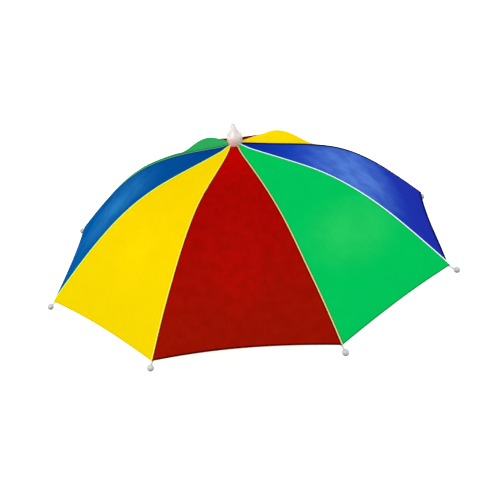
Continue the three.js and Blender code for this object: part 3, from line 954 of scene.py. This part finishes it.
def makeTip(index):
    along, depth = smoothLine(ballTip["stemLine"]).T * mm
    share = np.linspace(0, 1, len(along))[:, None, None]
    flare = ballTip["stemFlare"] * np.exp(-((share - 0.05) / 0.10) ** 2)
    places = ribPlane(ribLength + along, depth)[0]
    places[:, 0] += ballTip["lean"][index] * mm * np.clip(along / along[-1], 0, 1) ** 1.5
    ahead = unit(np.gradient(places, axis=0))
    stem = sweep(places, acrossRib, unit(np.cross(ahead, acrossRib)),
                 ring(ballTip["stemRadius"], 16) * (1 + flare))
    shankAlong = ribLength + np.array([ballTip["shankFrom"], ballTip["shankTo"]])
    shankPlaces, shankAbove = ribPlane(shankAlong, ballTip["shankDepth"])[::2]
    shank = sweep(shankPlaces, acrossRib, shankAbove, ring(ballTip["shankRadius"], 12))
    # the ball, with its poles in line with the stem's end
    angles = np.linspace(0, math.pi, 26)
    ball, ballFaces = lathe(ballTip["ballRadius"] * np.stack([np.sin(angles), -np.cos(angles)], -1), 32)
    turn = np.array(Vector(ahead[-1].tolist()).to_track_quat("Z", "Y").to_matrix())
    shape = joinParts([stem, shank, (ball @ turn.T + places[-1], ballFaces)])
    makePiece("ballTip%d" % (index + 1), turned(shape, ribTurn(index)), tipPlastic, "white_plastic",
              "rib_tip_%d" % (index + 1))


for i in ribNumbers:
    makeTip(i)
print("finial and ball tips done")


# Steel frame: ribs, struts and rivets

brightSteel = metalMaterial("brightSteel", {
    "colour": rgb(196, 198, 202), "dull": rgb(150, 153, 158),
    "roughness": 0.22, "grain": 2400.0, "grainDepth": 0.004 * mm})

frameParts = {
    "ribWidth": 2.6 * mm, "ribDepth": 2.8 * mm, "ribSheet": 0.4 * mm, "ribBend": 0.55 * mm,
    "ribSeat": 1.87 * mm, "ribStart": 6.75 * mm, "ribShort": 3 * mm,
    "strutPlace": 0.5, "rivetDepth": 1.6 * mm, "wireRadius": 0.9 * mm,
    "earRadius": 1.5 * mm, "earSheet": 0.6 * mm, "earInside": 1.6 * mm, "crimpFrom": 2.7 * mm,
    "crimpTo": 8.5 * mm, "footRadius": 86.2 * mm, "bendHeight": 43.6 * mm, "bendRadius": 4 * mm,
    "crimpLap": 0.2 * mm, "sleeveWall": 0.35 * mm, "footEnd": 23.6 * mm, "rivetHead": 1.3 * mm,
    "rivetHeadHeight": 0.55 * mm, "rivetPin": 0.6 * mm,
}


def channelShape():
    # the rib's folded sheet, open downwards, with rounded bends
    half, depth = frameParts["ribWidth"] / 2, frameParts["ribDepth"]
    sheet, bend = frameParts["ribSheet"], frameParts["ribBend"]
    outline = []
    for edge, radius in ((half, bend), (half - sheet, bend - sheet)):
        side = [(edge, -depth)] + [(half - bend + radius * math.cos(a), -bend + radius * math.sin(a))
                                   for a in np.linspace(0, math.pi / 2, 5)]
        side += [(-x, y) for x, y in side[::-1]]
        outline += side[::-1] if outline else side
    along = np.arange(frameParts["ribStart"], ribLength - frameParts["ribShort"] + 0.1 * mm, 3.2 * mm)
    places, ahead, above = ribPlane(along, frameParts["ribSeat"])
    return sweep(places, acrossRib, above, np.array(outline))


rivetSpot = ribPlane(np.array([frameParts["strutPlace"] * ribLength]),
                     frameParts["ribSeat"] + frameParts["rivetDepth"])[0][0]


def strutShape():
    # a wire from the rivet down to the bend and on into the pocket, with two ears at the rib
    corner, foot = (np.array([frameParts["footRadius"], 0, frameParts[key]])
                    for key in ("bendHeight", "footEnd"))
    leg, drop = unit(corner - rivetSpot), unit(foot - corner)
    start = rivetSpot + leg * frameParts["crimpFrom"]
    before, after = corner - leg * frameParts["bendRadius"], corner + drop * frameParts["bendRadius"]
    t = np.linspace(0, 1, 9)[1:, None]
    rows = np.concatenate([start + (before - start) * np.linspace(0, 1, 14)[:, None],
                           (1 - t) ** 2 * before + 2 * (1 - t) * t * corner + t * t * after,
                           after + (foot - after) * np.array([[0.5], [0.95], [1.0]])])
    radius = np.full((len(rows), 1, 1), frameParts["wireRadius"])
    radius[-1] *= 0.55
    wire = sweep(rows, acrossRib, unit(np.cross(unit(np.gradient(rows, axis=0)), acrossRib)),
                 ring(1.0, 14) * radius)
    # the sleeve is pressed flat towards the ears and round over the wire
    reach = np.linspace(frameParts["crimpFrom"] - frameParts["crimpLap"], frameParts["crimpTo"],
                        9)[:, None]
    ease = ((reach - reach[0]) / (reach[-1] - reach[0]))[:, None] ** 0.7
    wide = np.array([frameParts["earInside"] + frameParts["earSheet"], frameParts["earRadius"]])
    section = (roundedSquare(20, 0.45) * wide * (1 - ease)
               + ring(frameParts["wireRadius"] + frameParts["sleeveWall"], 20) * ease)
    above = np.cross(leg, acrossRib)
    sleeve = sweep(rivetSpot + leg * reach, acrossRib, above, section)
    return joinParts([wire, sleeve, earPlate(-1, leg, above), earPlate(1, leg, above)])


def earPlate(sign, leg, above):
    # a round-ended plate beside the rib, its rim eased by rings of a smaller outline
    radius, sheet = frameParts["earRadius"], frameParts["earSheet"]
    end = frameParts["crimpFrom"] + 0.6 * mm
    outline = [(radius * math.cos(a), radius * math.sin(a))
               for a in np.linspace(math.pi / 2, 3 * math.pi / 2, 13)]
    outline += [(end * t, -radius) for t in (0.35, 0.7, 1.0)]
    outline += [(end * t, radius) for t in (1.0, 0.7, 0.35)]
    rows = [[rivetSpot + leg * x * shorter + above * y * lower
             + np.array([0, sign * (frameParts["earInside"] + sheet * depth), 0]) for x, y in outline]
            for depth, shorter, lower in ((0, 0.97, 0.88), (0.12, 1, 1), (0.88, 1, 1), (1, 0.97, 0.88))]
    return tube(np.array(rows))


def rivetShape():
    pin, head, height = (frameParts[key] for key in ("rivetPin", "rivetHead", "rivetHeadHeight"))
    inside = frameParts["earInside"] + frameParts["earSheet"]
    seat = inside + 0.1 * mm
    half = [(pin, inside * 0.5), (pin, inside), (head * 0.96, inside)]
    half += [(head * math.cos(a), seat + height * math.sin(a))
             for a in np.linspace(0, math.pi / 2, 6)[:-1]]
    profile = [(0, -seat - height)] + [(r, -h) for r, h in half[::-1]] + half + [(0, seat + height)]
    points, faces = lathe(profile, 20)
    return points[:, [0, 2, 1]] + rivetSpot, faces


steelParts = [("ribChannel", "rib", channelShape(), 50), ("strutWire", "strut", strutShape(), 50),
              ("strutRivet", "rivet", rivetShape(), 40)]
for i in ribNumbers:
    for name, node, shape, sharpAngle in steelParts:
        makePiece("%s%d" % (name, i + 1), turned(shape, ribTurn(i)), brightSteel, "steel",
                  "%s_%d" % (node, i + 1), sharpAngle=sharpAngle)
print("frame done")


# Hub: a slotted disc round the finial's stem, with the wire ring that holds the ribs' ends

hub = {
    "radius": 13 * mm, "bore": 2.8 * mm, "slotStart": 5.6 * mm, "slotHalf": 1.6 * mm,
    "edge": 0.45 * mm, "ringRadius": 8.6 * mm, "ringWire": 0.45 * mm, "ringDrop": 3.3 * mm,
}


def makeHub():
    low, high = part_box("hub")
    edgeLine = ribAt(hub["radius"] / math.cos(halfPanel) / math.cos(canopy["crownSlope"]))[1]
    fall = (cornerHeight + canopy["rise"] - float(edgeLine)) / hub["radius"]
    inner, outer = (math.asin(hub["slotHalf"] / hub[key]) for key in ("slotStart", "radius"))
    spots = []                      # angles at a slot's closed end and at the rim, none inside a slot
    for i in ribNumbers:
        spots += [(ribTurn(i) + inner * t, None) for t in (-0.5, 0, 0.5)]
        spots += [tuple(ribTurn(i) + half + 2 * (halfPanel - half) * t for half in (inner, outer))
                  for t in np.linspace(0, 1, 9)]
    points, faces, at = [], [], {}
    for step in range(4):           # bore, slots' closed ends, half way out, rim
        for level in range(4):      # from the lower eased edge up
            inset = hub["edge"] if level in (0, 3) else 0
            for j, (near, far) in enumerate(spots):
                if step > 1 and far is None:
                    continue
                spot = polar(hub["slotStart"] if step else hub["bore"] + inset, near, 0)
                if step > 1:
                    spot = spot + (polar(hub["radius"] - inset, far, 0) - spot) * (step - 1) / 2
                top = high.z - (math.hypot(spot[0], spot[1]) - hub["bore"]) * fall
                spot[2] = (low.z, low.z + hub["edge"], top - hub["edge"], top)[level]
                at[step, level, j] = len(points)
                points.append(spot)

    def addFace(*corners):
        faces.append([at[corner] for corner in corners])

    for j, (near, far) in enumerate(spots):
        n = (j + 1) % len(spots)
        tooth = far is not None and spots[n][1] is not None
        for step in range(3 if tooth else 1):
            addFace((step, 3, j), (step + 1, 3, j), (step + 1, 3, n), (step, 3, n))
            addFace((step, 0, j), (step, 0, n), (step + 1, 0, n), (step + 1, 0, j))
        besideSlot = far is not None and None in (spots[j - 1][1], spots[n][1])
        for level in range(3):
            for step in (0, 3 if tooth else 1):
                addFace((step, level, j), (step, level, n), (step, level + 1, n), (step, level + 1, j))
            for step in (1, 2) if besideSlot else ():
                addFace((step, level, j), (step + 1, level, j), (step + 1, level + 1, j),
                        (step, level + 1, j))
    makePiece("hubDisc", (np.array(points), faces), whitePlastic, "white_plastic", "hub", sharpAngle=35)
    angles = circle(72)
    wire = sweep(polar(hub["ringRadius"], angles, high.z - hub["ringDrop"]), polar(1.0, angles, 0),
                 (0, 0, 1), ring(hub["ringWire"], 10), closed=True)
    makePiece("hubRing", wire, brightSteel, "steel")


makeHub()
print("hub done")


# Threads that tie each rib to the seam above it

ties = {"places": [0.3, 0.62, 0.82, 0.965], "wraps": 3, "pitch": 0.55 * mm, "radius": 0.17 * mm}

tieThread = threadMaterial("tieThread", {
    "colour": rgb(236, 234, 228), "deep": rgb(196, 192, 184), "strands": 5200.0, "depth": 0.03 * mm})


def tieShape():
    top, bottom = 0.5 * mm, frameParts["ribSeat"] + frameParts["ribDepth"] + ties["radius"]
    across, up = roundedSquare(20, 0.5).T
    parts = []
    for place in ties["places"]:
        for k in range(ties["wraps"]):
            drift = ties["pitch"] * (k + 0.18 * np.sin(circle(20) + 1.7 * k))
            places, ahead, above = ribPlane(place * ribLength + drift,
                                            (top + bottom) / 2 + up * (bottom - top) / 2)
            places[:, 1] = across * (frameParts["ribWidth"] / 2 + ties["radius"])
            forward = unit(np.roll(places, -1, axis=0) - np.roll(places, 1, axis=0))
            parts.append(sweep(places, unit(np.cross(forward, ahead)), ahead, ring(ties["radius"], 6),
                               closed=True))
    return joinParts(parts)


tiesOnRib = tieShape()
for i in ribNumbers:
    makePiece("ribTies%d" % (i + 1), turned(tiesOnRib, ribTurn(i)), tieThread, "elastic")
print("ties done")


# Headband: woven elastic with lengthwise ridges, and a sewn pocket for each strut

headband = {
    "inside": 83 * mm, "wall": 2 * mm, "low": 18 * mm, "high": 43 * mm, "ridges": 15,
    "ridgeHeight": 0.13 * mm, "around": 216, "edgeWave": 0.22 * mm, "overlapTurn": math.radians(90),
    "overlapHalf": 9 * mm, "overlapWall": 0.9 * mm,
    "pocketWidth": 12 * mm, "pocketLow": 21 * mm, "pocketHigh": 40 * mm, "pocketWall": 0.7 * mm,
    "pocketBulge": 2.9 * mm, "stitchInset": 1.0 * mm, "stitchStep": 2.0 * mm, "stitchLength": 1.45 * mm,
    "stitchRadius": 0.16 * mm, "edgeInset": 0.35 * mm, "sewnGap": 0.1 * mm,
}


def bandMaterial(name, look):
    material, tree, shader = newMaterial(name)
    place = storedPlace(tree, "clothPlace")
    threads = useGroup(tree, weave, place, Thread_Pitch=look["pitch"], Depth=look["threadDepth"])
    patches = useGroup(tree, mottle, place, Patch_Scale=look["patchScale"])["Patches"]
    colour = blendColours(tree, spread(tree, patches, 0.35, 0.65), look["colour"], look["worn"])
    grooves = calc(tree, "MULTIPLY", threads["Shade"], look["groove"])
    finishShader(tree, shader, threads["Height"],
                 Base_Color=blendColours(tree, grooves, colour, look["deep"]),
                 Roughness=spread(tree, patches, 0.3, 0.7, 0.88, 0.76),
                 Specular_IOR_Level=0.2, Sheen_Weight=0.15)
    return material


whiteElastic = bandMaterial("whiteElastic", {
    "colour": rgb(232, 230, 224), "worn": rgb(218, 214, 206), "deep": rgb(168, 164, 156),
    "pitch": 0.9 * mm, "threadDepth": 0.07 * mm, "patchScale": 40.0, "groove": 0.45})
whiteTape = bandMaterial("whiteTape", {
    "colour": rgb(238, 236, 231), "worn": rgb(226, 222, 215), "deep": rgb(180, 176, 168),
    "pitch": 0.45 * mm, "threadDepth": 0.03 * mm, "patchScale": 50.0, "groove": 0.35})


def bandWave(angle, height):
    # a slow unevenness round the band, more at its edges
    middle = (headband["low"] + headband["high"]) / 2
    edge = ((height - middle) / (headband["high"] - middle)) ** 2
    radial = 0.35 * mm * np.sin(3 * angle + 0.7) * (height - middle) / (headband["high"] - middle)
    return radial, headband["edgeWave"] * edge * np.sin(23 * angle + 1.1 * np.sin(4 * angle))


def makeBand():
    inside, wall, low, high = (headband[key] for key in ("inside", "wall", "low", "high"))
    middle = inside + wall / 2
    share = np.linspace(0, 1, headband["ridges"] * 4 + 1)
    heights = np.clip(low + (high - low) * share, low + headband["edgeInset"],
                      high - headband["edgeInset"])
    ridge = headband["ridgeHeight"] * (np.cos(headband["ridges"] * 2 * math.pi * share) - 1)
    rim = np.array([(0.55, -0.08), (0, 0), (-0.55, -0.08)]) * mm
    section = np.concatenate([np.stack([inside + wall + ridge, heights], -1), rim + (middle, high),
                              np.stack([inside - ridge, heights], -1)[::-1], (middle, low) - rim])
    turn = np.repeat(circle(headband["around"])[:, None], len(section), axis=1)
    radius, height = (np.repeat(column[None], len(turn), axis=0) for column in section.T)
    radial, lift = bandWave(turn, height)
    place = np.stack([turn * inside, height + (radius > middle) * 0.5, 0 * turn], -1)
    return makePiece("elasticBand", tube(polar(radius + radial, turn, height + lift), closed=True),
                     whiteElastic, "elastic", "headband", clothPlace=place)


def bandPoint(turn, across, height, out):
    # a point beside the band's outer face, at a place along it from a turn
    outside = headband["inside"] + headband["wall"]
    angle = turn + across / outside
    radial, lift = bandWave(angle, height)
    return polar(outside + out + radial, angle, height + lift)


def sewnPiece(name, turn, across, height, out, wall, material):
    # a piece of cloth sewn on the band's outer face
    place = np.stack([across, height, 0 * across], -1)
    return makePiece(name, shellFromGrid(bandPoint(turn, across, height, out), wall), material,
                     "elastic", clothPlace=[place, place + 0.1])


def makePocket(index):
    u, v = np.meshgrid(np.linspace(-1, 1, 25), np.linspace(0, 1, 25))
    half, low, wall = headband["pocketWidth"] / 2, headband["pocketLow"], headband["pocketWall"]
    inner = (half - headband["stitchInset"] * 1.3) / half
    swell = np.clip(1 - (np.abs(u) / inner) ** 2.4, 0, 1) ** 0.8
    rise = np.clip((v - 0.06) / 0.22, 0, 1)
    rise = rise * rise * (3 - 2 * rise)
    out = headband["sewnGap"] + wall / 2 + headband["pocketBulge"] * swell * rise
    out += 0.06 * mm * np.sin(9 * u + 5 * v + index) * swell
    height = low + (headband["pocketHigh"] - low) * v - 0.5 * mm * (1 - u * u) * (v > 0.98)
    return sewnPiece("strutPocket%d" % (index + 1), ribTurn(index), u * half, height, out, wall, whiteTape)


def makeOverlap():
    # the end of the band, sewn over its beginning at the back
    u, v = np.meshgrid(np.linspace(-1, 1, 21), np.linspace(0, 1, headband["ridges"] * 4 + 1))
    low, wall = headband["low"], headband["overlapWall"]
    ridge = headband["ridgeHeight"] * np.cos(v * headband["ridges"] * 2 * math.pi)
    edge = np.clip((1 - np.abs(u)) / 0.08, 0, 1)
    out = wall / 2 + ridge * 0.6 - 0.25 * mm * (1 - edge)
    height = low + 0.25 * mm + (headband["high"] - low - 0.5 * mm) * v
    return sewnPiece("bandOverlap", headband["overlapTurn"], u * headband["overlapHalf"], height, out,
                     wall, whiteElastic)


def stitchRow(turn, start, end, out):
    # stitches between two (across, height) places on the band's outer side
    start, end = np.array(start), np.array(end)
    length = float(np.hypot(*(end - start)))
    count = max(2, int(length / headband["stitchStep"]))
    across, height = (start + (end - start) * ((np.arange(count) + 0.5) / count)[:, None]).T
    step = (end - start) / length * 0.2 * mm
    here = bandPoint(turn, across, height, out)
    there = bandPoint(turn, across + step[0], height + step[1], out)
    outward = polar(1.0, turn + across / (headband["inside"] + headband["wall"]), 0)
    return threadStitches(here, there - here, outward, headband["stitchLength"],
                          headband["stitchRadius"])


def makeBandStitches():
    half = headband["pocketWidth"] / 2 - headband["stitchInset"]
    low = headband["pocketLow"] + headband["stitchInset"] * 0.8
    high = headband["pocketHigh"] - 0.6 * mm
    corners = [(-half, high), (-half, low), (half, low), (half, high)]
    parts = [stitchRow(ribTurn(i), start, end, headband["pocketWall"] + headband["sewnGap"])
             for i in ribNumbers for start, end in zip(corners, corners[1:])]
    wide = headband["overlapHalf"] - 1.2 * mm
    low, high = headband["low"] + 1.6 * mm, headband["high"] - 1.6 * mm
    for first, last in ((-wide, -wide), (wide, wide), (-wide, wide), (wide, -wide)):
        parts.append(stitchRow(headband["overlapTurn"], (first, low), (last, high),
                               headband["overlapWall"] + headband["sewnGap"]))
    return makePiece("bandStitches", joinParts(parts), tieThread, "elastic")


band = makeBand()
bandExtras = [makePocket(i) for i in ribNumbers]
bandExtras += [makeBandStitches(), makeOverlap()]
print("headband done")


# Camera, floor and light. Angles are in degrees, azimuths counted from the front.

cameraSetup = {
    "azimuth": 4.53, "elevation": 28.47, "roll": math.radians(-7.77), "distance": 1.019,
    "aside": 0.5 * mm, "drop": 9.3 * mm, "shiftX": -0.28 * mm, "shiftY": -0.29 * mm, "lens": 58.16,
    "sensor": 36.0, "clip": (0.01, 60),
}


def viewFrom(azimuth, elevation):
    azimuth, elevation = math.radians(azimuth), math.radians(elevation)
    return Vector((math.sin(azimuth) * math.cos(elevation), -math.cos(azimuth) * math.cos(elevation),
                   math.sin(elevation)))


def makeCamera():
    azimuth, roll = math.radians(cameraSetup["azimuth"]), cameraSetup["roll"]
    back = viewFrom(cameraSetup["azimuth"], cameraSetup["elevation"])
    right = Vector((math.cos(azimuth), math.sin(azimuth), 0))
    up = back.cross(right)
    xAxis = math.cos(roll) * right + math.sin(roll) * up
    yAxis = math.cos(roll) * up - math.sin(roll) * right
    target = (cameraSetup["aside"] * right + Vector((0, 0, cornerHeight - cameraSetup["drop"]))
              + cameraSetup["shiftX"] * xAxis + cameraSetup["shiftY"] * yAxis)
    data = bpy.data.cameras.new("photoCamera")
    data.lens, data.sensor_width = cameraSetup["lens"], cameraSetup["sensor"]
    data.clip_start, data.clip_end = cameraSetup["clip"]
    camera = bpy.data.objects.new("photoCamera", data)
    scene.collection.objects.link(camera)
    axes = Matrix((xAxis, yAxis, back)).transposed().to_4x4()
    camera.matrix_world = Matrix.Translation(target + back * cameraSetup["distance"]) @ axes
    scene.camera = camera


studioFloor = {"half": 12.0, "below": 0.05 * mm, "light": 0.85}


def makeFloor():
    half = studioFloor["half"]
    material, tree, shader = newMaterial("paleFloor")
    haze = useGroup(tree, scuffs, put(tree, "ShaderNodeTexCoord").outputs["Object"], Grain_Scale=40.0,
                    Depth=0.0)["Haze"]
    setSockets(tree, shader, Base_Color=blendColours(tree, haze, rgb(250, 250, 250), rgb(247, 247, 247)),
               Roughness=spread(tree, haze, 0.3, 0.7, 0.9, 0.95), Specular_IOR_Level=0.0,
               Emission_Color=(1, 1, 1, 1), Emission_Strength=studioFloor["light"])
    floor = addMesh("studioFloor", ([(-half, -half, 0), (half, -half, 0), (half, half, 0),
                                     (-half, half, 0)], [(0, 1, 2, 3)]), material)
    floor.location.z = -studioFloor["below"]


lamps = [
    {"name": "keySoftbox", "azimuth": -32, "elevation": 52, "distance": 1.9, "size": 1.3, "power": 13},
    {"name": "rightSoftbox", "azimuth": 142, "elevation": 34, "distance": 1.8, "size": 1.1, "power": 7},
    {"name": "leftSoftbox", "azimuth": 212, "elevation": 26, "distance": 1.9, "size": 1.0, "power": 4},
]
lampCentre = Vector((0, 0, 0.06))


def makeLamp(lamp):
    toward = viewFrom(lamp["azimuth"], lamp["elevation"])
    data = bpy.data.lights.new(lamp["name"], "AREA")
    data.shape, data.size, data.energy = "DISK", lamp["size"], lamp["power"]
    light = bpy.data.objects.new(lamp["name"], data)
    light.location = toward * lamp["distance"] + lampCentre
    light.rotation_mode = "QUATERNION"
    light.rotation_quaternion = toward.to_track_quat("Z", "Y")
    scene.collection.objects.link(light)


studioWorld = {"light": 0.6, "addedWhereSeen": 0.45}


def makeWorld():
    world = bpy.data.worlds.new("studioWorld")
    world.use_nodes = True
    tree = world.node_tree
    # the backdrop shows white, and lights the hat less than that
    seen = put(tree, "ShaderNodeLightPath").outputs["Is Camera Ray"]
    setSockets(tree, tree.nodes["Background"], Color=(1, 1, 1, 1),
               Strength=calc(tree, "MULTIPLY_ADD", seen, studioWorld["addedWhereSeen"],
                             studioWorld["light"]))
    scene.world = world


makeCamera()
makeFloor()
for lamp in lamps:
    makeLamp(lamp)
makeWorld()
scene.view_settings.view_transform = "Standard"
scene.view_settings.look = "None"
print("camera and light done")
